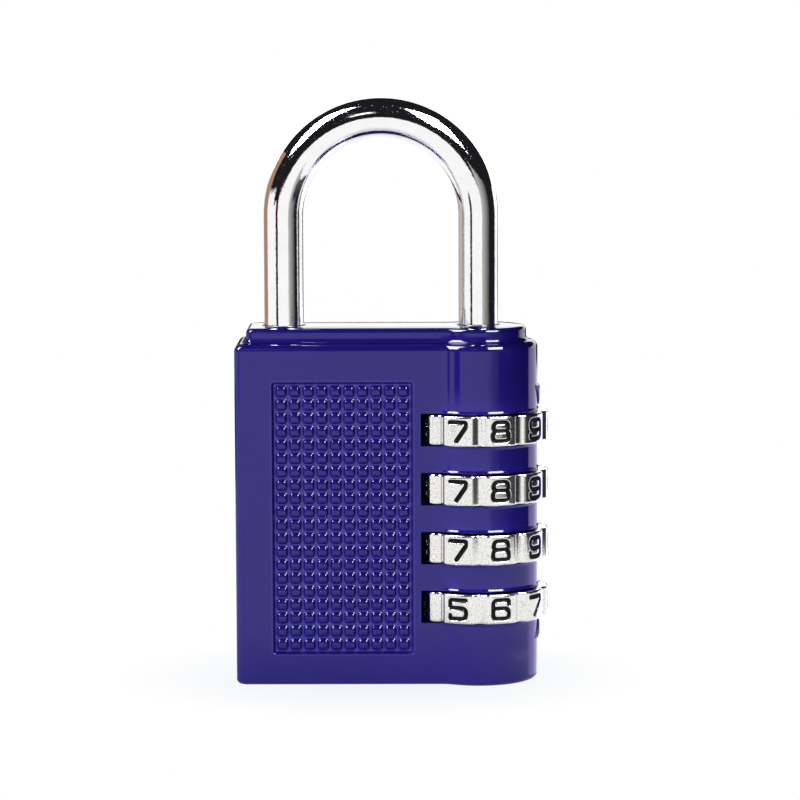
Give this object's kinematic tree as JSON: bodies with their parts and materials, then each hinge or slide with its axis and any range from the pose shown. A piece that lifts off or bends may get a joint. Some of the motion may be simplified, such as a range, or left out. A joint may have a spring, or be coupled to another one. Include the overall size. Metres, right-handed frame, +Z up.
{
  "type": "combination padlock",
  "caption": "Padlock with a flat studded body, numbered wheels stacked round one end and a round-rod shackle that lifts when the code is set.",
  "frame": {"origin": "on the bottom face, midway between the shackle's legs and midway through the thickness", "axes": "+Z up along the shackle's legs, +X from the short leg towards the number wheels, the studded face with the wheels' digits to its right looks along -Y"},
  "size_m": [0.0421, 0.0186, 0.0789],
  "materials": {
    "enamel": "gloss",
    "chrome": "polished",
    "wheel_metal": "satin",
    "sleeve_brass": "satin",
    "spring_steel": "satin"
  },
  "bodies": {
    "case": {"lock_body": "enamel", "bottom_plug": "enamel", "reset_spring": "spring_steel", "thrust_washer": "spring_steel", "detent_spring_1": "spring_steel", "detent_spring_2": "spring_steel", "detent_spring_3": "spring_steel", "detent_spring_4": "spring_steel"},
    "shackle": {"shackle": "chrome", "retaining_ring": "spring_steel"},
    "number_wheel_1": {"dial_1": "wheel_metal", "code_sleeve_1": "sleeve_brass"},
    "number_wheel_2": {"dial_2": "wheel_metal", "code_sleeve_2": "sleeve_brass"},
    "number_wheel_3": {"dial_3": "wheel_metal", "code_sleeve_3": "sleeve_brass"},
    "number_wheel_4": {"dial_4": "wheel_metal", "code_sleeve_4": "sleeve_brass"}
  },
  "joints": [
    {"name": "shackle_lift", "type": "slide", "parent": "case", "child": "shackle", "axis": [0, 0, 1], "range_m": [0, 0.007]},
    {"name": "dial_1_turn", "type": "hinge", "parent": "case", "child": "number_wheel_1", "pos_m": [0.01315, 0, 0.0347], "axis": [0, 0, 1], "continuous": true, "deforming": ["detent_spring_1"]},
    {"name": "dial_2_turn", "type": "hinge", "parent": "case", "child": "number_wheel_2", "pos_m": [0.01315, 0, 0.0267], "axis": [0, 0, 1], "continuous": true, "deforming": ["detent_spring_2"]},
    {"name": "dial_3_turn", "type": "hinge", "parent": "case", "child": "number_wheel_3", "pos_m": [0.01315, 0, 0.0187], "axis": [0, 0, 1], "continuous": true, "deforming": ["detent_spring_3"]},
    {"name": "dial_4_turn", "type": "hinge", "parent": "case", "child": "number_wheel_4", "pos_m": [0.01315, 0, 0.0107], "axis": [0, 0, 1], "continuous": true, "deforming": ["detent_spring_4"]}
  ]
}
